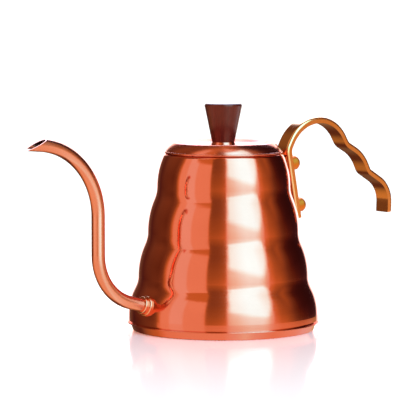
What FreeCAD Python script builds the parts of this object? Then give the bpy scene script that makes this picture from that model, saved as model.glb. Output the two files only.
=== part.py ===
import FreeCAD, Part
import math
import os
import Sketcher

from FreeCAD import Placement, Rotation, Vector

# Gooseneck drip kettle, millimetres.
# The origin is on the body's axis at the surface it stands on, +Z is up, the handle is at +X
# and the spout at -X. Body and lid are bodies of revolution about Z; spout and handle lie in XZ.

SIZES = {
    # body of revolution, outside radii and heights, counted from the top down
    "wall": 0.8,
    "crest_1_radius": 47.95, "crest_1_height": 102.5,
    "crest_2_radius": 54.7, "crest_2_height": 70.0,
    "crest_3_radius": 61.65, "crest_3_height": 38.2,
    "crest_4_radius": 68.5, "crest_4_height": 10.9,
    "concave_share": 0.25,
    "shoulder_radius": 43.2, "shoulder_height": 124.8, "shoulder_round": 2.6,
    # base pan
    "foot_radius": 67.0, "foot_low_radius": 65.0, "foot_round": 0.6,
    "flange_radius": 69.4, "flange_height": 5.2, "groove_radius": 66.6, "ledge_height": 7.2,
    # filling neck and lid skirt
    "neck_radius": 40.0, "neck_depth": 9.0, "neck_lip_radius": 40.9,
    "skirt_radius": 38.8, "skirt_wall": 0.6, "skirt_depth": 8.3, "skirt_lip_radius": 40.7,
    # lid
    "lid_rim_radius": 42.2, "lid_rim_round": 0.7, "lid_rim_drop": 1.2,
    "lid_crest_radius": 35.0, "lid_height": 6.6, "lid_bead_round": 2.6, "lid_side_round": 21.0,
    "lid_dish_depth": 1.7, "lid_dish_slope": 3.0,
    "vent_radius": 1.5, "vent_ring": 25.0,
    # knob and its fixing
    "knob_foot_radius": 8.2, "knob_top_radius": 13.9, "knob_height": 27.5, "knob_round": 1.6,
    "ferrule_foot_radius": 8.9, "ferrule_top_radius": 7.9, "ferrule_height": 1.9,
    "screw_radius": 2.0, "screw_clearance": 0.2, "screw_head_radius": 3.8, "screw_head_height": 2.2,
    "washer_radius": 5.0, "washer_thickness": 0.8,
    "insert_radius": 3.2, "insert_length": 12.0, "screw_reach": 10.0,
    # spout
    "spout_radius": 4.75, "spout_wall": 0.8, "spout_pitch": 14.2,
    "spout_wall_x": 67.35, "spout_wall_height": 20.95, "spout_inside": 3.0,
    "spout_rise_x": 109.0, "spout_top_height": 134.2, "spout_tip_pitch": 5.0,
    "spout_low_bend": 36.0, "spout_high_bend": 51.5, "spout_reach": 175.0,
    "mouth_lip_x": 168.7, "mouth_lip_height": 134.7, "mouth_top_x": 151.6, "mouth_top_height": 142.4,
    # collar where the spout meets the body
    "collar_radius": 7.2, "collar_thickness": 2.2, "collar_step_radius": 6.2,
    "collar_step_thickness": 3.2, "collar_round": 0.5,
    # handle strap
    "strap_width": 13.4, "strap_thickness": 4.5, "strap_round": 2.0, "strap_corner": 1.0,
    "leg_foot_x": 64.6, "leg_foot_height": 76.1, "leg_lean": 10.54,
    # handle fixing
    "bracket_width": 10.0, "bracket_sheet": 1.3, "bracket_foot": 3.0, "bracket_length": 43.5,
    "bracket_depth": 16.0,
    "stud_radius": 2.4, "stud_hole": 0.1, "stud_head_radius": 3.6, "stud_head_height": 1.2,
    "stud_low": 8.4, "stud_high": 39.8, "stud_reach": 5.0,
    "nut_radius": 5.2, "nut_barrel": 5.8, "nut_dome": 3.8, "nut_bore_depth": 5.8,
}

# Corners of the strap's centre line after the leg, as x, height and the bend's radius there.
STRAP_CORNERS = [
    (55.2, 126.6, 9.0),
    (65.1, 145.2, 28.5),
    (99.8, 149.5, 27.5),
    (110.6, 128.6, 10.0),
    (125.8, 120.2, 27.0),
    (131.9, 107.6, 6.5),
    (152.6, 95.1, 20.0),
    (151.9, 75.9, 0.0),
]

doc = FreeCAD.newDocument("GooseneckKettle")
sheet = doc.addObject("Spreadsheet::Sheet", "Sizes")
parts = {}


def fill_sheet():
    for row, (name, value) in enumerate(SIZES.items(), start=1):
        sheet.set(f"A{row}", name)
        sheet.set(f"B{row}", str(value))
        sheet.setAlias(f"B{row}", name)
    doc.recompute()


class Size:
    """A length that knows both its value and the expression that gives it from the sheet."""

    def __init__(self, value, text):
        self.value = value
        self.text = text

    def _join(self, sign, other, value):
        return Size(value, f"({self.text} {sign} {size_of(other).text})")

    def __add__(self, other):
        return self._join("+", other, self.value + size_of(other).value)

    def __sub__(self, other):
        return self._join("-", other, self.value - size_of(other).value)

    def __mul__(self, other):
        return self._join("*", other, self.value * size_of(other).value)

    def __truediv__(self, other):
        return self._join("/", other, self.value / size_of(other).value)


def size_of(item):
    return item if isinstance(item, Size) else Size(float(item), repr(float(item)))


def cell(name):
    return Size(float(sheet.get(name)), f"Sizes.{name}")


def origin_plane(body, role):
    return next(item for item in body.Origin.OriginFeatures if item.Role == role)


def attach(sketch, body, role, offset=None):
    sketch.AttachmentSupport = (origin_plane(body, role), [""])
    sketch.MapMode = "FlatFace"
    if offset is not None:
        sketch.AttachmentOffset = offset


def new_body(name):
    body = doc.addObject("PartDesign::Body", name)
    body.Label = name
    return body


def new_sketch(body, name, role="XZ_Plane", offset=None):
    sketch = body.newObject("Sketcher::SketchObject", name)
    attach(sketch, body, role, offset)
    return sketch


def arc_between(start, end, radius, side):
    """The short arc of the given radius; side +1 bulges to the left of the way from start to end."""
    chord = end - start
    half = chord.Length / 2
    to_left = Vector(-chord.y, chord.x, 0).normalize()
    rise = math.sqrt(max(radius * radius - half * half, 0.0))
    middle = start + chord / 2
    centre = middle - to_left * (rise * side)
    return Part.Arc(start, centre + to_left * (radius * side), end)


def closed_profile(sketch, corners):
    """Closed outline. Each corner is (x, y) or (x, y, radius, side) for an arc that arrives there."""
    spots = [Vector(size_of(c[0]).value, size_of(c[1]).value, 0) for c in corners]
    for index, corner in enumerate(corners):
        start, end = spots[index - 1], spots[index]
        if len(corner) == 2:
            sketch.addGeometry(Part.LineSegment(start, end), False)
        else:
            sketch.addGeometry(arc_between(start, end, size_of(corner[2]).value, corner[3]), False)
    count = len(corners)
    ends = [end_point(corner) for corner in corners]
    for index, corner in enumerate(corners):
        following = (index + 1) % count
        sketch.addConstraint(Sketcher.Constraint(
            "Coincident", index, ends[index], following, start_point(corners[following])))
        bind(sketch, "DistanceX", index, ends[index], corner[0])
        bind(sketch, "DistanceY", index, ends[index], corner[1])
        if len(corner) == 4:
            radius = size_of(corner[2])
            number = sketch.addConstraint(Sketcher.Constraint("Radius", index, radius.value))
            sketch.setExpression(f"Constraints[{number}]", radius.text)


def start_point(corner):
    return 1 if len(corner) == 2 or corner[3] < 0 else 2


def end_point(corner):
    return 3 - start_point(corner)


def bind(sketch, kind, item, point, length):
    """Fixes one coordinate of a corner, counted from the sketch's origin."""
    length = size_of(length)
    if abs(length.value) < 1e-9:
        axis = -2 if kind == "DistanceX" else -1
        sketch.addConstraint(Sketcher.Constraint("PointOnObject", item, point, axis))
        return
    number = sketch.addConstraint(Sketcher.Constraint(kind, -1, 1, item, point, length.value))
    sketch.setExpression(f"Constraints[{number}]", length.text)


def turned(name, corners, height=None):
    """A body of revolution about Z from a closed outline of (radius, height) corners."""
    body = new_body(name)
    sketch = new_sketch(body, f"{name}_outline")
    closed_profile(sketch, corners)
    spin = body.newObject("PartDesign::Revolution", f"{name}_turned")
    spin.Profile = sketch
    spin.ReferenceAxis = (sketch, ["V_Axis"])
    spin.Angle = 360
    if height is not None:
        body.Placement = Placement(Vector(0, 0, size_of(height).value), Rotation())
        body.setExpression("Placement.Base.z", size_of(height).text)
    doc.recompute()
    return body


def drilled(body, name, radius, length, placement):
    """Takes a round hole out of the body."""
    drill = body.newObject("PartDesign::SubtractiveCylinder", name)
    drill.setExpression("Radius", size_of(radius).text)
    drill.setExpression("Height", size_of(length).text)
    drill.Placement = placement
    doc.recompute()
    return drill


def rounded(body, edges, radius, name):
    before = body.Tip
    fillet = body.newObject("PartDesign::Fillet", name)
    fillet.Base = (before, edges)
    fillet.setExpression("Radius", size_of(radius).text)
    doc.recompute()
    return fillet


def edges_where(body, test):
    return [f"Edge{i}" for i, edge in enumerate(body.Tip.Shape.Edges, start=1) if test(edge)]


def keep(node, item):
    item.Label = node
    parts[node] = item


def bell_curve(upper, lower):
    """Joins two crests with a concave and a convex arc that are both upright at the crests."""
    (radius_a, height_a), (radius_b, height_b) = upper, lower
    spread = radius_b - radius_a
    drop = height_a - height_b
    whole = (spread * spread + drop * drop) / (spread * 2)
    share = cell("concave_share")
    joint = (radius_a + spread * share, height_a - drop * share)
    return joint, whole * share, whole * (Size(1.0, "1") - share)


def shoulder_spots():
    """The rounded shoulder's end and the level of the flat top it turns into."""
    crest = (cell("crest_1_radius"), cell("crest_1_height"))
    end = (cell("shoulder_radius"), cell("shoulder_height"))
    spread = crest[0] - end[0]
    rise = end[1] - crest[1]
    radius = (spread * spread + rise * rise) / (spread * 2)
    small = cell("shoulder_round")
    one = Size(1.0, "1")
    top = (end[0] - small * (one - spread / radius), end[1] + small * (one - rise / radius))
    return end, radius, top


def wall_side(inset):
    """Corners of the body's side from the shoulder down to the flange, moved in by inset."""
    crests = [(cell(f"crest_{n}_radius") - inset, cell(f"crest_{n}_height")) for n in range(1, 5)]
    end, radius, _ = shoulder_spots()
    corners = [(end[0] - inset, end[1])]
    corners.append((crests[0][0], crests[0][1], radius, 1))
    for upper, lower in zip(crests, crests[1:]):
        joint, concave, convex = bell_curve(upper, lower)
        corners.append((joint[0], joint[1], concave, -1))
        corners.append((lower[0], lower[1], convex, 1))
    corners.append((crests[-1][0], wall_foot()))
    return corners


def reversed_side(corners):
    """The same corners walked the other way, with each arc kept on its own stretch."""
    back = []
    for index in range(len(corners) - 1, -1, -1):
        spot = corners[index][:2]
        after = corners[index + 1] if index + 1 < len(corners) else spot
        back.append(spot if len(after) == 2 else spot + (after[2], -after[3]))
    return back


def wall_foot():
    return cell("ledge_height") + cell("wall")


def body_top():
    return shoulder_spots()[2][1]


def neck_top():
    return body_top() + cell("wall")


def lid_foot():
    return neck_top() + cell("skirt_wall")


def dish_top():
    return lid_foot() + cell("lid_height") - cell("lid_dish_depth")


def make_body_shell():
    """Drawn copper wall with four stacked bells, its top turned in, its foot on the pan's flange."""
    _, _, top = shoulder_spots()
    outer = wall_side(Size(0.0, "0"))
    outer[0] = outer[0] + (cell("shoulder_round"), 1)
    inner = reversed_side(wall_side(cell("wall")))
    ledge = body_top() - cell("wall")
    corners = [(cell("neck_radius"), ledge), (cell("neck_radius"), body_top()), top]
    corners += outer + inner + [(top[0] - cell("wall"), ledge)]
    body = turned("body_shell", corners)
    drilled(body, "spout_hole", cell("spout_radius"), 20.0, spout_root(-10.0))
    keep("body_shell", body)


def make_body_blank():
    """The space that the body's outside encloses; parts brazed on are trimmed to it."""
    _, _, top = shoulder_spots()
    outer = wall_side(Size(0.0, "0"))
    outer[0] = outer[0] + (cell("shoulder_round"), 1)
    return turned("body_blank", [(0, wall_foot()), (0, body_top()), top] + outer)


def make_base_pan():
    """Flat-bottomed pressed pan: a tapered foot, a thin flange, a groove and the wall's ledge."""
    foot, low, wall = cell("foot_radius"), cell("foot_low_radius"), cell("wall")
    flange, under = cell("flange_radius"), cell("flange_height")
    groove, ledge, seat = cell("groove_radius"), cell("ledge_height"), cell("crest_4_radius")
    body = turned("base_pan", [
        (0, 0), (low, 0), (foot, under), (flange, under), (flange, under + wall),
        (groove, under + wall), (groove, ledge), (seat, ledge), (seat, wall_foot()),
        (groove - wall, wall_foot()), (groove - wall, under), (low - wall, wall), (0, wall)])
    rim = edges_where(body, lambda e: abs(e.BoundBox.XMax - SIZES["flange_radius"]) < 1e-3)
    rounded(body, rim, wall * 0.4, "flange_round")
    heel = edges_where(body, lambda e: abs(e.BoundBox.XMax - SIZES["foot_low_radius"]) < 1e-3
                       and e.BoundBox.ZMax < 1e-3)
    rounded(body, heel, cell("foot_round"), "foot_round")
    keep("base_pan", body)


def lipped_ring(name, radius, thickness, depth, lip_radius, lip_thickness, level):
    """A short tube with an out-turned lip on top; level is the lip's underside."""
    inside = radius - thickness
    zero = Size(0.0, "0")
    ring = turned(name, [
        (inside, zero - depth), (radius, zero - depth), (radius, 0), (lip_radius, 0),
        (lip_radius, lip_thickness), (inside, lip_thickness)], height=level)
    keep(name, ring)


def make_neck_and_skirt():
    lipped_ring("neck_ring", cell("neck_radius"), cell("wall"), cell("neck_depth"),
                cell("neck_lip_radius"), cell("wall"), body_top())
    lipped_ring("lid_skirt", cell("skirt_radius"), cell("skirt_wall"), cell("skirt_depth"),
                cell("skirt_lip_radius"), cell("skirt_wall"), neck_top())


def make_lid_shell():
    """Shallow dish, round bead, domed side and rolled rim; heights count from the lid's foot."""
    rim, roll, drop = cell("lid_rim_radius"), cell("lid_rim_round"), cell("lid_rim_drop")
    height, wall, bead = cell("lid_height"), cell("wall"), cell("lid_bead_round")
    bore = cell("screw_radius") + cell("screw_clearance")
    dish = height - cell("lid_dish_depth")
    top, under = lid_bead(height, bead), lid_bead(height - wall, bead - wall)
    dish_edge = top[0][0] - cell("lid_dish_slope")
    foot, zero = rim - roll * 3.2, Size(0.0, "0")
    body = turned("lid_shell", [
        (bore, dish - wall), (bore, dish), (dish_edge, dish), top[0], top[1] + (bead, 1),
        (rim - roll * 0.3, roll * 2 - drop, cell("lid_side_round"), 1),
        (rim - roll * 0.6, zero - drop, roll * 1.05, 1), (rim - wall, zero - drop), (rim - wall, 0),
        (foot, 0), (foot, roll * 2), under[1], under[0] + (bead - wall, -1),
        (dish_edge, dish - wall)], height=lid_foot())
    for number, angle in enumerate((35, 145), start=1):
        spot = Rotation(Vector(0, 0, 1), angle).multVec(Vector(SIZES["vent_ring"], 0, 0))
        drilled(body, f"vent_{number}", cell("vent_radius"), 20.0, Placement(spot, Rotation()))
    keep("lid_shell", body)


def lid_bead(top, radius):
    """Where the bead's arc begins over the dish and where it ends on the domed side."""
    dish_share, side_share, side_drop = 0.19, 0.616, 0.212
    crest = cell("lid_crest_radius")
    start = (crest - radius * dish_share, top - radius * (1 - math.sqrt(1 - dish_share ** 2)))
    return start, (crest + radius * side_share, top - radius * side_drop)


def make_knob():
    """Turned hardwood knob, wider at the top, bored from below for its threaded insert."""
    foot, top, height = cell("knob_foot_radius"), cell("knob_top_radius"), cell("knob_height")
    bore, depth = cell("insert_radius"), cell("insert_length")
    body = turned("knob", [
        (bore, 0), (foot, 0), (top, height), (0, height), (0, depth), (bore, depth)],
        height=dish_top() + cell("ferrule_height"))
    crown = edges_where(body, lambda e: abs(e.BoundBox.XMax - SIZES["knob_top_radius"]) < 1e-3
                        and e.BoundBox.ZLength < 1e-3)
    rounded(body, crown, cell("knob_round"), "crown_round")
    keep("knob", body)


def make_knob_fixing():
    """Ferrule, threaded insert, screw and washer that hold the knob to the lid."""
    bore = cell("screw_radius") + cell("screw_clearance")
    keep("knob_ferrule", turned("knob_ferrule", [
        (bore, 0), (cell("ferrule_foot_radius"), 0),
        (cell("ferrule_top_radius"), cell("ferrule_height")), (bore, cell("ferrule_height"))],
        height=dish_top()))
    shank = cell("screw_radius")
    keep("knob_insert", turned("knob_insert", [
        (shank, 0), (cell("insert_radius"), 0), (cell("insert_radius"), cell("insert_length")),
        (shank, cell("insert_length"))], height=dish_top() + cell("ferrule_height")))
    under = dish_top() - cell("wall") - cell("washer_thickness")
    keep("knob_washer", turned("knob_washer", [
        (bore, 0), (cell("washer_radius"), 0), (cell("washer_radius"), cell("washer_thickness")),
        (bore, cell("washer_thickness"))], height=under))
    head = Size(0.0, "0") - cell("screw_head_height")
    reach = cell("washer_thickness") + cell("wall") + cell("ferrule_height") + cell("screw_reach")
    screw = turned("knob_screw", [
        (0, head), (cell("screw_head_radius"), head), (cell("screw_head_radius"), 0), (shank, 0),
        (shank, reach), (0, reach)], height=under)
    slot = screw.newObject("PartDesign::SubtractiveBox", "screw_slot")
    slot.Length, slot.Width, slot.Height = 10.0, 1.1, 1.2
    slot.Placement = Placement(Vector(-5.0, -0.55, head.value - 0.01), Rotation())
    keep("knob_screw", screw)


def spout_axis():
    """Unit direction in which the spout leaves the body's wall."""
    pitch = math.radians(SIZES["spout_pitch"])
    return Vector(-math.cos(pitch), 0, math.sin(pitch))


def spout_root(step):
    """A place on the spout's root axis, step outside the wall, with its Z along the axis."""
    start = Vector(-SIZES["spout_wall_x"], 0, SIZES["spout_wall_height"])
    return Placement(start + spout_axis() * step, Rotation(Vector(0, 0, 1), spout_axis()))


def bent_line(points, radii):
    """Lines and tangent arcs through corner points; each inner corner has its own bend radius."""
    pieces = []
    last = points[0]
    for before, corner, after, radius in zip(points, points[1:], points[2:], radii):
        come = (corner - before).normalize()
        leave = (after - corner).normalize()
        turn = come.getAngle(leave)
        reach = radius * math.tan(turn / 2)
        start, end = corner - come * reach, corner + leave * reach
        inward = (leave - come).normalize()
        middle = corner + inward * (radius / math.cos(turn / 2) - radius)
        if (start - last).Length > 1e-6:
            pieces.append(Part.LineSegment(last, start))
        pieces.append(Part.Arc(start, middle, end))
        last = end
    pieces.append(Part.LineSegment(last, points[-1]))
    return pieces


def join_ends(sketch, first, pieces):
    """Ties each piece of an open run to the next one where they meet."""
    for index, (piece, following) in enumerate(zip(pieces, pieces[1:])):
        one, other = first + index, first + index + 1
        meet = piece.EndPoint
        point = 2 if sketch.getPoint(one, 2).distanceToPoint(meet) < 1e-6 else 1
        partner = 1 if sketch.getPoint(other, 1).distanceToPoint(meet) < 1e-6 else 2
        sketch.addConstraint(Sketcher.Constraint("Coincident", one, point, other, partner))


def spout_corners():
    rise_x = SIZES["spout_rise_x"]
    root = spout_root(-SIZES["spout_inside"]).Base
    wall = spout_root(0.0).Base
    low = wall.z + (rise_x + wall.x) * math.tan(math.radians(SIZES["spout_pitch"]))
    tip_slope = math.tan(math.radians(SIZES["spout_tip_pitch"]))
    top = SIZES["spout_top_height"]
    end_x = SIZES["spout_reach"]
    return [Vector(root.x, root.z, 0), Vector(-rise_x, low, 0), Vector(-rise_x, top, 0),
            Vector(-end_x, top + (end_x - rise_x) * tip_slope, 0)]


def make_spout_tube():
    """Bent copper tube with a mouth cut on a slant."""
    body = new_body("spout_tube")
    path = new_sketch(body, "spout_path")
    run = bent_line(spout_corners(), [SIZES["spout_low_bend"], SIZES["spout_high_bend"]])
    path.addGeometry(run, False)
    join_ends(path, 0, run)
    root = spout_root(-SIZES["spout_inside"])
    tilt = Placement(Vector(0, root.Base.z, root.Base.x),
                     Rotation(Vector(1, 0, 0), -90 + SIZES["spout_pitch"] - 90))
    for kind, name, radius in (
            ("PartDesign::AdditivePipe", "outside", cell("spout_radius")),
            ("PartDesign::SubtractivePipe", "inside", cell("spout_radius") - cell("spout_wall"))):
        ring = new_sketch(body, f"spout_{name}", "YZ_Plane", tilt)
        ring.addGeometry(Part.Circle(Vector(0, 0, 0), Vector(0, 0, 1), radius.value), False)
        ring.addConstraint(Sketcher.Constraint("Coincident", 0, 3, -1, 1))
        number = ring.addConstraint(Sketcher.Constraint("Radius", 0, radius.value))
        ring.setExpression(f"Constraints[{number}]", radius.text)
        pipe = body.newObject(kind, f"spout_{name}_pipe")
        pipe.Profile = ring
        pipe.Spine = path
        doc.recompute()
    cut_mouth(body)
    keep("spout_tube", body)


def cut_mouth(body):
    """Slices the tube's end along the line from its lip to the top of the mouth."""
    zero = Size(0.0, "0")
    lip = (zero - cell("mouth_lip_x"), cell("mouth_lip_height"))
    top = (zero - cell("mouth_top_x"), cell("mouth_top_height"))
    run = (top[0] - lip[0], top[1] - lip[1])
    above = (top[0] + run[0], top[1] + run[1])
    below = (lip[0] - run[0], lip[1] - run[1])
    sketch = new_sketch(body, "mouth_slant")
    closed_profile(sketch, [below, above, (above[0], above[1] + 12.0),
                            (below[0] - 20.0, above[1] + 12.0)])
    pocket = body.newObject("PartDesign::Pocket", "mouth_cut")
    pocket.Profile = sketch
    pocket.Midplane = True
    pocket.Type = "Length"
    pocket.Length = 40.0
    doc.recompute()


def make_spout_collar(blank):
    """Two-step turned ring round the spout's root, trimmed to the wall it is brazed to."""
    bore, step, lip = cell("spout_radius"), cell("collar_step_radius"), cell("collar_radius")
    base, front = cell("collar_thickness"), cell("collar_thickness") + cell("collar_step_thickness")
    ring = turned("collar_ring", [
        (bore, -5.0), (lip, -5.0), (lip, base), (step, base), (step, front), (bore, front)])
    crowns = edges_where(ring, lambda e: e.BoundBox.ZLength < 1e-3 and e.BoundBox.ZMin > 1.0
                         and e.BoundBox.XMax > SIZES["spout_radius"] + 0.1
                         and not (e.BoundBox.ZMin < SIZES["collar_thickness"] + 0.1
                                  and e.BoundBox.XMax < SIZES["collar_radius"] - 0.1))
    rounded(ring, crowns, cell("collar_round"), "collar_rounds")
    ring.Placement = spout_root(0.0)
    keep("spout_collar", trimmed("spout_collar", ring, blank))


def trimmed(name, piece, blank):
    cut = doc.addObject("Part::Cut", name)
    cut.Base, cut.Tool = piece, blank
    doc.recompute()
    return cut


def leg_frame(height, depth):
    """A place on the leg: height along it from its foot, depth outwards from its body side."""
    lean = math.radians(SIZES["leg_lean"])
    up = Vector(-math.sin(lean), 0, math.cos(lean))
    out = Vector(math.cos(lean), 0, math.sin(lean))
    foot = Vector(SIZES["leg_foot_x"], 0, SIZES["leg_foot_height"])
    spot = foot + up * height + out * (depth - SIZES["strap_thickness"] / 2)
    return Placement(spot, Rotation(Vector(0, 0, 1), out))


def offset_corners(points, radii, offset):
    """The same bent line moved sideways to its left, with its bend radii adjusted."""
    moved, bends = [], []
    for index, point in enumerate(points):
        before = points[index - 1] if index else None
        after = points[index + 1] if index + 1 < len(points) else None
        come = (point - before).normalize() if before else (after - point).normalize()
        leave = (after - point).normalize() if after else come
        left = Vector(-come.y, come.x, 0) + Vector(-leave.y, leave.x, 0)
        moved.append(point + left * (offset / (left.Length ** 2 / 2)))
        if before and after:
            turning_left = come.cross(leave).z > 0
            bends.append(radii[index - 1] + (-offset if turning_left else offset))
    return moved, bends


def make_handle_strap():
    """Bent flat brass bar: a leg on the body, an arch over the hand and a waved grip."""
    points = [Vector(SIZES["leg_foot_x"], SIZES["leg_foot_height"], 0)]
    points += [Vector(x, height, 0) for x, height, _ in STRAP_CORNERS]
    radii = [radius for _, _, radius in STRAP_CORNERS[:-1]]
    half = SIZES["strap_thickness"] / 2
    left, left_bends = offset_corners(points, radii, half)
    right, right_bends = offset_corners(points, radii, -half)
    body = new_body("handle_strap")
    sketch = new_sketch(body, "strap_outline")
    outline = bent_line(left, left_bends)
    outline.append(Part.LineSegment(left[-1], right[-1]))
    outline += bent_line(right[::-1], right_bends[::-1])
    outline.append(Part.LineSegment(right[0], left[0]))
    sketch.addGeometry(outline, False)
    join_ends(sketch, 0, outline)
    pad = body.newObject("PartDesign::Pad", "strap_width")
    pad.Profile = sketch
    pad.Midplane = True
    pad.setExpression("Length", "Sizes.strap_width")
    doc.recompute()
    round_strap(body)
    for number, name in enumerate(("stud_low", "stud_high"), start=1):
        drilled(body, f"strap_hole_{number}", cell("stud_radius") + cell("stud_hole"), 12.0,
                leg_frame(SIZES[name], -4.0))
    keep("handle_strap", body)


def round_strap(body):
    """Eases the bar's four end corners and its long edges."""
    half = SIZES["strap_width"] / 2
    thickness = SIZES["strap_thickness"]
    corners = edges_where(body, lambda e: abs(abs(e.BoundBox.YMax) - half) < 1e-3
                          and e.BoundBox.YLength < 1e-3 and abs(e.Length - thickness) < 1e-3)
    rounded(body, corners, cell("strap_corner"), "end_corners")
    sides = edges_where(body, lambda e: e.BoundBox.YLength < 1e-3
                        and abs(abs(e.BoundBox.YMax) - half) < 1e-3)
    rounded(body, sides[:1], cell("strap_round"), "long_edges")


def make_handle_bracket(blank):
    """Folded channel brazed to the wall; its web carries the strap on two studs."""
    body = new_body("bracket_channel")
    width, sheet_t = cell("bracket_width"), cell("bracket_sheet")
    depth, length = cell("bracket_depth"), cell("bracket_length")
    sketch = new_sketch(body, "channel_section", "XY_Plane")
    half, inner, zero = width / 2, width / 2 - sheet_t, Size(0.0, "0")
    closed_profile(sketch, [
        (0, half), (zero - depth, half), (zero - depth, inner), (zero - sheet_t, inner),
        (zero - sheet_t, zero - inner), (zero - depth, zero - inner), (zero - depth, zero - half),
        (0, zero - half)])
    pad = body.newObject("PartDesign::Pad", "channel_length")
    pad.Profile = sketch
    pad.setExpression("Length", length.text)
    doc.recompute()
    bends = edges_where(body, lambda e: e.BoundBox.XMin > -1e-3 and e.BoundBox.ZLength > 1.0)
    rounded(body, bends, sheet_t * 0.9, "channel_bends")
    for number, name in enumerate(("stud_low", "stud_high"), start=1):
        level = SIZES[name] - SIZES["bracket_foot"]
        turn = Rotation(Vector(0, 0, 1), Vector(1, 0, 0))
        drilled(body, f"web_hole_{number}", cell("stud_radius") + cell("stud_hole"), 4.0,
                Placement(Vector(-2.5, 0, level), turn))
    lean = Rotation(Vector(0, 1, 0), -SIZES["leg_lean"])
    body.Placement = Placement(leg_frame(SIZES["bracket_foot"], 0.0).Base, lean)
    keep("handle_bracket", trimmed("handle_bracket", body, blank))


def pair(node, master):
    """Two copies of a turned piece on the leg's two stud axes, kept as one node."""
    copies = []
    for name, depth in (("stud_low", master[1]), ("stud_high", master[1])):
        copy = doc.addObject("Part::Feature", f"{node}_{name}")
        copy.Shape = master[0].Shape
        copy.Placement = leg_frame(SIZES[name], depth)
        copies.append(copy)
    group = doc.addObject("Part::Compound", node)
    group.Links = copies
    doc.recompute()
    keep(node, group)


def make_studs_and_nuts():
    """Headed studs from inside the bracket, and the domed cap nuts that clamp the strap."""
    shank, head = cell("stud_radius"), cell("stud_head_radius")
    head_height = cell("stud_head_height")
    reach = head_height + cell("bracket_sheet") + cell("strap_thickness") + cell("stud_reach")
    stud = turned("stud", [(0, 0), (head, 0), (head, head_height), (shank, head_height),
                           (shank, reach), (0, reach)])
    pair("handle_studs", (stud, -SIZES["bracket_sheet"] - SIZES["stud_head_height"]))
    radius, barrel, dome = cell("nut_radius"), cell("nut_barrel"), cell("nut_dome")
    bore, depth = shank + cell("stud_hole"), cell("nut_bore_depth")
    cap_radius = (radius * radius + dome * dome) / (dome * 2)
    nut = turned("nut", [(bore, 0), (radius, 0), (radius, barrel),
                         (0, barrel + dome, cap_radius, -1), (0, depth), (bore, depth)])
    pair("handle_cap_nuts", (nut, SIZES["strap_thickness"]))


def check_parts():
    failed = [item.Name for item in doc.Objects
              if "Invalid" in item.State or "Error" in item.State]
    if failed:
        raise RuntimeError(f"objects that failed: {failed}")
    for node, item in parts.items():
        if item.Shape.isNull() or not item.Shape.isValid() or not item.Shape.Solids:
            raise RuntimeError(f"{node} has no valid solid")


def write_parts():
    os.makedirs("parts", exist_ok=True)
    for node, item in parts.items():
        item.Shape.exportStep(f"parts/{node}.step")
        print(f"{node}: {len(item.Shape.Solids)} solid(s), {item.Shape.Volume / 1000:.2f} cm3")


def main():
    fill_sheet()
    make_body_shell()
    blank = make_body_blank()
    make_base_pan()
    make_neck_and_skirt()
    make_lid_shell()
    make_knob()
    make_knob_fixing()
    make_spout_tube()
    make_spout_collar(blank)
    make_handle_strap()
    make_handle_bracket(blank)
    make_studs_and_nuts()
    doc.recompute()
    check_parts()
    write_parts()


main()
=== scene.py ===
import math

import bpy
from mathutils import Matrix, Vector

# Gooseneck kettle, metres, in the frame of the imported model: +Z up along the body's axis,
# handle at +X, spout at -X, standing on z = 0.

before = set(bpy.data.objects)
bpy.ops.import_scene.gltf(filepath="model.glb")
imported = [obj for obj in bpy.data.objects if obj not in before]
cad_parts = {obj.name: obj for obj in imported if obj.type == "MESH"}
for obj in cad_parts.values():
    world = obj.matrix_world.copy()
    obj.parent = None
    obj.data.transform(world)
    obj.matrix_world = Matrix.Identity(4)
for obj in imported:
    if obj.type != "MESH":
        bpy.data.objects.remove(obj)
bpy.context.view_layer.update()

VIEW_AZIMUTH = math.radians(-37.0)
VIEW_PITCH = math.radians(5.15)
VIEW_DISTANCE = 1.944
VIEW_ANGLE = math.radians(8.81)
AIM_RIGHT = -0.01094
AIM_UP = 0.08647
VIEW_REACH = 100.0


# ---------------------------------------------------------------- node helpers

def new_material(name):
    material = bpy.data.materials.new(name)
    material.use_nodes = True
    material.node_tree.nodes.clear()
    return material, Graph(material.node_tree)


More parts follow.
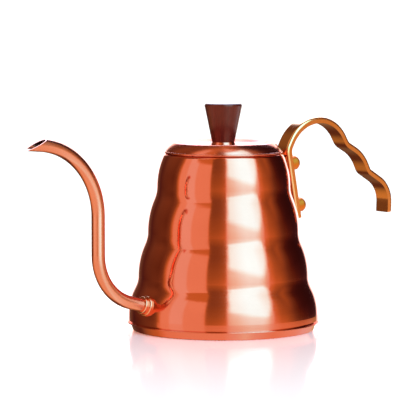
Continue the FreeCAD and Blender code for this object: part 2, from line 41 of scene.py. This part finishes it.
class Graph:
    """Short names for building a node tree. Where one takes a value, it takes a socket too."""

    def __init__(self, tree):
        self.tree = tree

    def node(self, kind, inputs=None, **settings):
        made = self.tree.nodes.new(kind)
        for name, value in settings.items():
            setattr(made, name, value)
        for name, value in (inputs or {}).items():
            self.feed(made.inputs[name], value)
        return made

    def feed(self, socket, value):
        if isinstance(value, bpy.types.NodeSocket):
            self.tree.links.new(value, socket)
        elif value is not None:
            socket.default_value = value

    def math(self, operation, first, second=None, third=None):
        made = self.node("ShaderNodeMath", operation=operation)
        for socket, value in zip(made.inputs, (first, second, third)):
            self.feed(socket, value)
        return made.outputs[0]

    def ramp(self, factor, stops):
        """Colour ramp from (place, colour) stops, places rising."""
        made = self.node("ShaderNodeValToRGB", {"Fac": factor})
        elements = made.color_ramp.elements
        while len(elements) < len(stops):
            elements.new(1.0)
        for element, (place, colour) in zip(elements, stops):
            element.position = place
            element.color = (*colour, 1.0)
        return made.outputs["Color"]

    def blend(self, factor, first, second, kind="MIX"):
        """The first colour where factor is 0, the second, or their product, where it is 1."""
        made = self.node("ShaderNodeMix", data_type="RGBA", blend_type=kind)
        self.feed(made.inputs["Factor"], factor)
        self.feed(made.inputs[6], first)
        self.feed(made.inputs[7], second)
        return made.outputs[2]

    def mix(self, factor, first, second):
        """first where factor is 0, second where it is 1."""
        made = self.node("ShaderNodeMix", data_type="FLOAT")
        self.feed(made.inputs[0], factor)
        self.feed(made.inputs[2], first)
        self.feed(made.inputs[3], second)
        return made.outputs[0]

    def remap(self, value, low, high, out_low=0.0, out_high=1.0):
        """out_low up to low, out_high from high on, a straight slope between."""
        made = self.node("ShaderNodeMapRange", {
            "Value": value, "From Min": low, "From Max": high, "To Min": out_low, "To Max": out_high})
        return made.outputs["Result"]

    def split(self, vector):
        """The X, Y and Z sockets of a vector."""
        return self.node("ShaderNodeSeparateXYZ", {"Vector": vector}).outputs

    def finish(self, shader):
        out = self.node("ShaderNodeOutputMaterial")
        self.tree.links.new(shader.outputs[0], out.inputs["Surface"])

    def noise(self, vector, scale, detail=3.0, roughness=0.5):
        made = self.node("ShaderNodeTexNoise", {
            "Vector": vector, "Scale": scale, "Detail": detail, "Roughness": roughness})
        return made.outputs["Fac"]


def grey(level):
    return (level, level, level, 1.0)


# ---------------------------------------------------------------- studio

# All angles here are degrees. Azimuths start at the camera's side and are negative to the left.
# The rings give the light's strength by azimuth: one just below eye level, one a little above it,
# one higher up, one overhead and one on the table.
LOW_RING = [
    (-180, 0.12), (-156, 0.12), (-148, 0.10), (-138, 0.03), (-124, 0.055),
    (-108, 0.12), (-97, 0.145), (-89, 0.20), (-83, 0.50), (-16, 0.46), (-7, 0.50), (-2, 0.55),
    (4, 0.70), (67, 0.84), (74, 0.565), (82, 0.50), (90, 0.34), (98, 0.20), (106, 0.12),
    (115, 0.06), (130, 0.028), (180, 0.028),
]
MID_RING = [
    (-180, 0.11), (-156, 0.11), (-148, 0.09), (-138, 0.04), (-124, 0.10),
    (-108, 0.10), (-97, 0.083), (-89, 0.146), (-83, 0.60), (-16, 0.285), (-7, 0.31), (-2, 0.35),
    (3, 0.42), (67, 0.55), (74, 0.37), (82, 0.30), (90, 0.20), (98, 0.095), (106, 0.035),
    (115, 0.02), (130, 0.014), (180, 0.014),
]
HIGH_RING = [
    (-180, 0.10), (-156, 0.10), (-148, 0.08), (-138, 0.085), (-124, 0.18),
    (-108, 0.165), (-97, 0.128), (-89, 0.19), (-83, 0.45), (-16, 0.187), (-7, 0.21), (-2, 0.25),
    (3, 0.34), (67, 0.60), (74, 0.36), (82, 0.235), (90, 0.33), (98, 0.18), (106, 0.035),
    (115, 0.02), (130, 0.014), (180, 0.014),
]
OVERHEAD_RING = [
    (-180, 0.50), (-165, 0.45), (-148, 0.20), (-136, 0.16), (-125, 0.25), (-105, 0.20),
    (-90, 0.40), (-60, 0.46), (-40, 0.42), (-20, 0.35), (-4, 0.42), (6, 0.72), (14, 1.05),
    (25, 1.5), (45, 1.5), (54, 0.85), (68, 0.565), (78, 0.39), (94, 0.22), (107, 0.15),
    (118, 0.25), (150, 0.50), (180, 0.50),
]
TABLE_RING = [
    (-180, 0.18), (-165, 0.10), (-150, 0.05), (-136, 0.05), (-122, 0.28), (-112, 0.42),
    (-104, 0.46), (-87, 0.86), (-56, 1.0), (0, 0.97), (20, 1.4), (34, 1.9), (48, 1.4),
    (77, 0.95), (113, 1.1), (130, 1.2), (150, 0.8), (180, 0.18),
]
RING_TOP = 2.4
LOW_TILT, MID_TILT, HIGH_TILT = -5.2, 7.0, 30.0
LOW_FADE = 0.4
OVERHEAD_FROM, OVERHEAD_TO = 70.0, 77.0

# Degrees of softness for the lights' edges.
EDGE_FINE, EDGE_SOFT, EDGE_WIDE = 1.5, 3.0, 8.0

# The table's far edge, which dips over a stretch at the left.
HORIZON_FROM, HORIZON_TO = -9.0, -6.5
DIP_LEFT, DIP_RIGHT, DIP_DEPTH = -160.0, -90.0, 5.0

# The backdrop stands behind the kettle, outside these azimuths, and turns cooler as it rises.
BACKDROP_LEFT, BACKDROP_RIGHT = -160.0, 155.0
BACKDROP_TURN_FROM, BACKDROP_TURN_TO = 22.0, 30.0
BACKDROP_TOP_FROM, BACKDROP_TOP_TO = 58.0, 62.0
BACKDROP_LOW, BACKDROP_HIGH = (2.4, 2.4, 2.4, 1.0), (3.5, 6.0, 10.0, 1.0)

# Colour of the light by its strength: warm where it is dim, cool where it is strong.
TONES = [
    (0.0, (0.0, 0.0, 0.0)), (0.02, (0.046, 0.02, 0.03)), (0.05, (0.112, 0.05, 0.036)),
    (0.08, (0.135, 0.08, 0.05)), (0.11, (0.165, 0.11, 0.068)), (0.16, (0.228, 0.16, 0.093)),
    (0.32, (0.43, 0.32, 0.13)), (0.51, (0.71, 0.51, 0.22)), (0.72, (0.90, 0.72, 0.55)),
    (0.98, (0.97, 0.98, 0.97)), (1.31, (1.0, 1.31, 1.7)), (2.0, (1.03, 2.0, 2.7)),
    (2.8, (1.08, 2.8, 4.35)), (3.5, (1.11, 3.5, 6.2)), (4.6, (1.16, 4.6, 8.6)),
    (6.0, (1.2, 6.0, 12.5)),
]
TONE_TOP, TONE_PEAK = 6.0, 12.5

# The fill card at the left, a brighter strip down it, and the wedge cut from its upper corner.
FILL_LEVEL, FILL_STRIP_LEVEL = 0.98, 1.31
FILL_LEFT, FILL_RIGHT = -82.0, -22.5
FILL_STRIP_LEFT, FILL_STRIP_RIGHT = -68.5, -50.0
WEDGE_LEVEL, WEDGE_LEFT = 0.48, -56.0
WEDGE_FOOT_FROM, WEDGE_FOOT_TO = 33.0, 36.0

# The softbox at the right: its sides, its top, its strength by azimuth and its slanted foot.
KEY_LEFT, KEY_RIGHT, KEY_RIGHT_SLOPE = 7.0, 54.5, 0.42
KEY_RIGHT_INSIDE, KEY_RIGHT_OUTSIDE = -4.0, 3.0
KEY_TOP_FROM, KEY_TOP_TO = 68.0, 72.0
KEY_RING = [(6, 4.2), (12, 4.9), (18, 5.2), (24, 5.6), (34, 6.0), (48, 5.9), (56, 5.2), (64, 4.6)]
KEY_FOOT, KEY_FOOT_SLOPE = 13.0, -0.30

# The paler glow below the softbox.
SKIRT_LEFT, SKIRT_RIGHT = 4.5, 64.0
SKIRT_TOP_FROM, SKIRT_TOP_TO = 20.0, 30.0
SKIRT_RING = [
    (4, 1.2), (9, 1.9), (12, 2.1), (17, 2.35), (24, 2.9), (34, 3.5), (48, 3.5), (53, 2.9),
    (56, 2.4), (59, 1.6), (64, 1.1),
]
SKIRT_RISE = 1.25

# The room's level for light that has bounced off a matt surface, and for the camera.
MATT_LEVEL = 1.5
SEEN_LEVEL = 1.05


def ring_level(g, turn, stops, top):
    """Strength at an azimuth, from (azimuth, strength) stops."""
    places = [((angle + 180) / 360, (level / top,) * 3) for angle, level in stops]
    return g.math("MULTIPLY", g.ramp(turn, places), top)


def box_mask(g, value, low, high, soft):
    """1 from low to high and 0 outside, with soft edges."""
    rise = g.remap(value, low - soft / 2, low + soft / 2)
    fall = g.remap(value, high - soft / 2, high + soft / 2, 1.0, 0.0)
    return g.math("MULTIPLY", rise, fall)


def make_world():
    """A white studio: pale backdrop behind, a fill card at the left, a bright softbox at the right."""
    world = bpy.data.worlds.new("studio")
    bpy.context.scene.world = world
    world.use_nodes = True
    world.node_tree.nodes.clear()
    g = Graph(world.node_tree)
    azimuth, elevation = sky_angles(g)
    turn = g.remap(azimuth, -180.0, 180.0)
    level = add_key(g, turn, azimuth, elevation, room_level(g, turn, azimuth, elevation))
    colour = add_backdrop(g, tone(g, level), azimuth, elevation)
    rays = g.node("ShaderNodeLightPath").outputs
    colour = g.blend(g.math("MINIMUM", rays["Diffuse Depth"], 1.0), colour, grey(MATT_LEVEL))
    colour = g.blend(rays["Is Camera Ray"], colour, grey(SEEN_LEVEL))
    background = g.node("ShaderNodeBackground", {"Color": colour, "Strength": 1.0})
    out = g.node("ShaderNodeOutputWorld")
    g.tree.links.new(background.outputs[0], out.inputs["Surface"])


def sky_angles(g):
    """Azimuth and elevation of a direction, in degrees."""
    direction = g.node("ShaderNodeTexCoord").outputs["Generated"]
    turned = g.node("ShaderNodeVectorRotate", {"Vector": direction, "Angle": -VIEW_AZIMUTH},
                    rotation_type="Z_AXIS").outputs["Vector"]
    axes = g.split(turned)
    azimuth = g.math("DEGREES", g.math("ARCTAN2", axes["X"], g.math("MULTIPLY", axes["Y"], -1.0)))
    return azimuth, g.math("DEGREES", g.math("ARCSINE", axes["Z"]))


def tone(g, level):
    """The light's colour at a strength."""
    tones = [(strength / TONE_TOP, tuple(part / TONE_PEAK for part in colour))
             for strength, colour in TONES]
    colour = g.ramp(g.math("DIVIDE", level, TONE_TOP), tones)
    return g.blend(1.0, colour, grey(TONE_PEAK), "MULTIPLY")


def add_backdrop(g, colour, azimuth, elevation):
    room = box_mask(g, azimuth, BACKDROP_LEFT, BACKDROP_RIGHT, EDGE_WIDE)
    behind = g.math("MULTIPLY", g.math("SUBTRACT", 1.0, room), over_table(g, azimuth, elevation))
    under_top = g.remap(elevation, BACKDROP_TOP_FROM, BACKDROP_TOP_TO, 1.0, 0.0)
    height = g.remap(elevation, BACKDROP_TURN_FROM, BACKDROP_TURN_TO)
    return g.blend(g.math("MULTIPLY", behind, under_top), colour,
                   g.blend(height, BACKDROP_LOW, BACKDROP_HIGH))


def over_table(g, azimuth, elevation):
    """1 above the table's far edge and 0 below it."""
    dip = g.math("MULTIPLY", box_mask(g, azimuth, DIP_LEFT, DIP_RIGHT, EDGE_WIDE), DIP_DEPTH)
    return g.remap(g.math("ADD", elevation, dip), HORIZON_FROM, HORIZON_TO)


def room_level(g, turn, azimuth, elevation):
    """Strength of the light without the softbox: the dim room, the fill card and the table."""
    low, mid, high, overhead, table = [ring_level(g, turn, stops, RING_TOP) for stops in (
        LOW_RING, MID_RING, HIGH_RING, OVERHEAD_RING, TABLE_RING)]
    rise = g.math("POWER", g.remap(elevation, LOW_TILT, MID_TILT), LOW_FADE)
    level = g.mix(rise, low, mid)
    level = g.mix(g.remap(elevation, MID_TILT, HIGH_TILT), level, high)
    level = g.mix(box_mask(g, azimuth, FILL_LEFT, FILL_RIGHT, EDGE_SOFT), level,
                  card_level(g, azimuth, elevation))
    level = g.mix(g.remap(elevation, OVERHEAD_FROM, OVERHEAD_TO), level, overhead)
    return g.mix(over_table(g, azimuth, elevation), table, level)


def card_level(g, azimuth, elevation):
    """Strength of the fill card."""
    strip = box_mask(g, azimuth, FILL_STRIP_LEFT, FILL_STRIP_RIGHT, EDGE_FINE)
    card = g.mix(strip, FILL_LEVEL, FILL_STRIP_LEVEL)
    wedge = g.math("MULTIPLY", g.remap(azimuth, WEDGE_LEFT - EDGE_FINE, WEDGE_LEFT + EDGE_FINE),
                   g.remap(elevation, WEDGE_FOOT_FROM, WEDGE_FOOT_TO))
    return g.mix(wedge, card, WEDGE_LEVEL)


def add_key(g, turn, azimuth, elevation, level):
    """The softbox, slanted at its foot and its right side, over the glow below it."""
    level = g.mix(skirt_mask(g, azimuth, elevation), level,
                  g.math("MULTIPLY", ring_level(g, turn, SKIRT_RING, TONE_TOP),
                         g.remap(elevation, LOW_TILT, MID_TILT, 1.0, SKIRT_RISE)))
    return g.mix(key_mask(g, azimuth, elevation), level, ring_level(g, turn, KEY_RING, TONE_TOP))


def skirt_mask(g, azimuth, elevation):
    side = box_mask(g, azimuth, SKIRT_LEFT, SKIRT_RIGHT, EDGE_SOFT)
    low_part = g.remap(elevation, SKIRT_TOP_FROM, SKIRT_TOP_TO, 1.0, 0.0)
    return g.math("MULTIPLY", g.math("MULTIPLY", side, low_part), over_table(g, azimuth, elevation))


def key_mask(g, azimuth, elevation):
    right = g.math("MULTIPLY_ADD", elevation, KEY_RIGHT_SLOPE, KEY_RIGHT)
    side = g.math("MULTIPLY", g.remap(azimuth, KEY_LEFT - EDGE_SOFT, KEY_LEFT + EDGE_SOFT),
                  g.remap(g.math("SUBTRACT", azimuth, right),
                          KEY_RIGHT_INSIDE, KEY_RIGHT_OUTSIDE, 1.0, 0.0))
    foot = g.math("MULTIPLY_ADD", g.math("SUBTRACT", azimuth, KEY_LEFT), KEY_FOOT_SLOPE, KEY_FOOT)
    above = g.remap(g.math("SUBTRACT", elevation, foot), 0.0, EDGE_WIDE)
    under_top = g.remap(elevation, KEY_TOP_FROM, KEY_TOP_TO, 1.0, 0.0)
    return g.math("MULTIPLY", side, g.math("MULTIPLY", above, under_top))


# The floor, by distance from the kettle's axis: its mirror image fades out over the sheen's reach,
# its own glow starts just inside the foot, and near the kettle the glow is tinted pink, a painted
# reflection of the copper that fades to white.
FLOOR_SIZE = 60.0
SHEEN_NEAR, SHEEN_FAR = 0.07, 0.62
SHEEN_STRENGTH = 0.52
SHEEN_ROUGHNESS = 0.10
PAPER = (1.0, 0.76, 0.56, 1.0)
GLOW_SHARE = 0.5
GLOW_FROM, GLOW_TO = 0.064, 0.070
PAINTED_REFLECTION_PINK = (1.9, 1.14, 1.14, 1.0)
PAINTED_PINK_NEAR, PAINTED_PINK_FAR = 0.10, 0.42


def make_floor():
    """A lit white sheet whose soft mirror image of the kettle fades out with distance, and whose glow
    near the kettle carries a painted pink reflection of the copper.
    """
    bpy.ops.mesh.primitive_plane_add(size=FLOOR_SIZE, location=(0, 0, 0))
    floor = bpy.context.object
    floor.name = "studio_floor"
    material, g = new_material("studio_floor")
    where = g.node("ShaderNodeTexCoord").outputs["Object"]
    away = g.node("ShaderNodeVectorMath", {"Vector": where}, operation="LENGTH").outputs["Value"]
    # Painted reflection: the glow is pink near the kettle, as if lit by the copper, and white further
    # out.
    painted_reflection_pink = g.blend(g.remap(away, PAINTED_PINK_NEAR, PAINTED_PINK_FAR), PAINTED_REFLECTION_PINK, grey(1.0))
    paper = g.node("ShaderNodeBsdfDiffuse", {"Color": PAPER})
    glow_with_painted_reflection = g.node("ShaderNodeEmission", {"Color": painted_reflection_pink, "Strength": 1.0})
    gloss = g.node("ShaderNodeBsdfGlossy", {"Color": grey(1.0), "Roughness": SHEEN_ROUGHNESS})
    lit = mix_shaders(g, g.remap(away, GLOW_FROM, GLOW_TO, 0.0, GLOW_SHARE), paper, glow_with_painted_reflection)
    g.finish(mix_shaders(g, g.remap(away, SHEEN_NEAR, SHEEN_FAR, SHEEN_STRENGTH, 0.0), lit, gloss))
    floor.data.materials.append(material)
    floor.visible_glossy = False


def mix_shaders(g, share, first, second):
    """The first shader with this share of the second."""
    both = g.node("ShaderNodeMixShader", {"Fac": share})
    g.tree.links.new(first.outputs[0], both.inputs[1])
    g.tree.links.new(second.outputs[0], both.inputs[2])
    return both


def make_camera():
    """A long lens a little above the kettle, standing on the spout's side."""
    data = bpy.data.cameras.new("camera")
    data.angle = VIEW_ANGLE
    data.clip_end = VIEW_REACH
    camera = bpy.data.objects.new("camera", data)
    bpy.context.scene.collection.objects.link(camera)
    right = Vector((math.cos(VIEW_AZIMUTH), math.sin(VIEW_AZIMUTH), 0))
    ahead = Vector((-math.sin(VIEW_AZIMUTH), math.cos(VIEW_AZIMUTH), 0))
    ahead = ahead * math.cos(VIEW_PITCH) - Vector((0, 0, math.sin(VIEW_PITCH)))
    up = right.cross(ahead)
    place = right * AIM_RIGHT + up * AIM_UP - ahead * VIEW_DISTANCE
    turn = Matrix((right, up, -ahead)).transposed().to_4x4()
    camera.matrix_world = Matrix.Translation(place) @ turn
    bpy.context.scene.camera = camera


# ---------------------------------------------------------------- materials

# Each metal's duller and brighter colour.
BODY_COPPER = (0.81, 0.158, 0.071), (0.85, 0.172, 0.079)
SPOUT_COPPER = (0.85, 0.225, 0.10), (0.90, 0.25, 0.115)
# The collar's copper, also worn by the handle bracket, is paler than the body's: painted light
# standing in for the bright reflections on the collar.
COLLAR_PAINTED_LIGHT_COPPER = (0.90, 0.32, 0.14), (0.95, 0.35, 0.16)
NUT_COPPER = (0.78, 0.15, 0.010), (0.84, 0.165, 0.013)
BRASS = (0.88, 0.30, 0.088), (0.94, 0.34, 0.108)
STEEL = (0.5, 0.49, 0.47), (0.62, 0.61, 0.59)

# The knob's wood, its grain's darker and lighter colour and the tint of its shine.
WOOD = (0.048, 0.005, 0.003), (0.080, 0.009, 0.005)
KNOB_SHINE = (1.0, 0.24, 0.12, 1.0)

# Where a noise starts and ends its change from one value to the other.
NOISE_LOW, NOISE_HIGH = 0.3, 0.7
METAL_BUMP, WOOD_BUMP, BUMP_DEPTH = 0.04, 0.08, 0.0002

# Roughness of each finish at the two ends of its marks.
MIRROR, CLEAN, BUFFED = (0.07, 0.12), (0.10, 0.15), (0.15, 0.21)
DRAWN, MATT = (0.20, 0.27), (0.40, 0.50)
BRUSHED, TURNED, OILED = (0.13, 0.20), (0.25, 0.35), (0.26, 0.20)

# How many surface marks there are to a metre along the axes. The lathe's rings also run outwards,
# at this share of their spacing up the axis, so that flat parts have them too.
LATHE_ALONG, LATHE_ACROSS, LATHE_OUTWARD = 1000.0, 5.0, 0.7
BRUSH_SCALE = (100.0, 3000.0, 100.0)
GRAIN_SCALE = (900.0, 900.0, 60.0)
COPPER_CLOUDS, BRASS_CLOUDS = 30.0, 40.0


def lathe_marks(g):
    """A coordinate that changes across the fine rings a spinning lathe leaves."""
    axes = g.split(g.node("ShaderNodeTexCoord").outputs["Object"])
    out = g.math("SQRT", g.math("ADD", g.math("MULTIPLY", axes["X"], axes["X"]),
                                g.math("MULTIPLY", axes["Y"], axes["Y"])))
    along = g.math("ADD", axes["Z"], g.math("MULTIPLY", out, LATHE_OUTWARD))
    return g.node("ShaderNodeCombineXYZ", {
        "X": g.math("MULTIPLY", axes["X"], LATHE_ACROSS),
        "Y": g.math("MULTIPLY", axes["Y"], LATHE_ACROSS),
        "Z": g.math("MULTIPLY", along, LATHE_ALONG)}).outputs[0]


def stretched(g, where, scale):
    return g.node("ShaderNodeMapping", {"Vector": where, "Scale": scale}).outputs[0]


def two_tone(g, noise, colours):
    return g.ramp(noise, [(NOISE_LOW, colours[0]), (NOISE_HIGH, colours[1])])


def between(g, noise, finish):
    return g.remap(noise, NOISE_LOW, NOISE_HIGH, *finish)


def finish_metal(g, colour, roughness, height):
    relief = g.node("ShaderNodeBump", {
        "Height": height, "Strength": METAL_BUMP, "Distance": BUMP_DEPTH})
    g.finish(g.node("ShaderNodeBsdfPrincipled", {
        "Base Color": colour, "Roughness": roughness, "Metallic": 1.0,
        "Normal": relief.outputs[0]}))


def copper(name, finish, colours):
    material, g = new_material(name)
    marks = g.noise(lathe_marks(g), 1.0, detail=4.0)
    cloud = g.noise(g.node("ShaderNodeTexCoord").outputs["Object"], COPPER_CLOUDS)
    finish_metal(g, two_tone(g, cloud, colours), between(g, marks, finish), marks)
    return material


def brass():
    material, g = new_material("satin_brass")
    where = g.node("ShaderNodeTexCoord").outputs["Object"]
    marks = g.noise(stretched(g, where, BRUSH_SCALE), 1.0)
    cloud = g.noise(where, BRASS_CLOUDS)
    finish_metal(g, two_tone(g, cloud, BRASS), between(g, marks, BRUSHED), marks)
    return material


def steel():
    material, g = new_material("steel_fixing")
    marks = g.noise(lathe_marks(g), 1.0)
    finish_metal(g, two_tone(g, marks, STEEL), between(g, marks, TURNED), marks)
    return material


def wood():
    material, g = new_material("dark_wood")
    where = g.node("ShaderNodeTexCoord").outputs["Object"]
    grain = g.noise(stretched(g, where, GRAIN_SCALE), 1.0, detail=5.0, roughness=0.6)
    relief = g.node("ShaderNodeBump", {
        "Height": grain, "Strength": WOOD_BUMP, "Distance": BUMP_DEPTH})
    g.finish(g.node("ShaderNodeBsdfPrincipled", {
        "Base Color": two_tone(g, grain, WOOD), "Roughness": between(g, grain, OILED),
        "Specular IOR Level": 1.0, "Specular Tint": KNOB_SHINE, "Normal": relief.outputs[0]}))
    return material


def dress_nodes():
    """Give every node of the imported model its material."""
    polished = copper("polished_copper", MIRROR, BODY_COPPER)
    soft = copper("soft_copper", BUFFED, BODY_COPPER)
    spout = copper("spout_copper", DRAWN, SPOUT_COPPER)
    # The collar copper is painted paler to stand in for the bright light on the collar.
    painted_light_collar = copper("collar_painted_light_copper", CLEAN, COLLAR_PAINTED_LIGHT_COPPER)
    nut = copper("nut_copper", MATT, NUT_COPPER)
    gold, fixing, dark = brass(), steel(), wood()
    coats = {
        "body_shell": polished, "base_pan": polished, "neck_ring": polished, "lid_shell": soft,
        "lid_skirt": polished, "knob_ferrule": soft, "spout_tube": spout,
        "spout_collar": painted_light_collar, "handle_bracket": painted_light_collar, "handle_strap": gold,
        "handle_cap_nuts": nut, "knob_insert": gold, "handle_studs": fixing,
        "knob_washer": fixing, "knob_screw": fixing, "knob": dark,
    }
    for node, material in coats.items():
        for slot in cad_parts[node].material_slots:
            slot.material = material


bpy.context.scene.view_settings.view_transform = "Standard"
make_camera()
make_world()
make_floor()
dress_nodes()
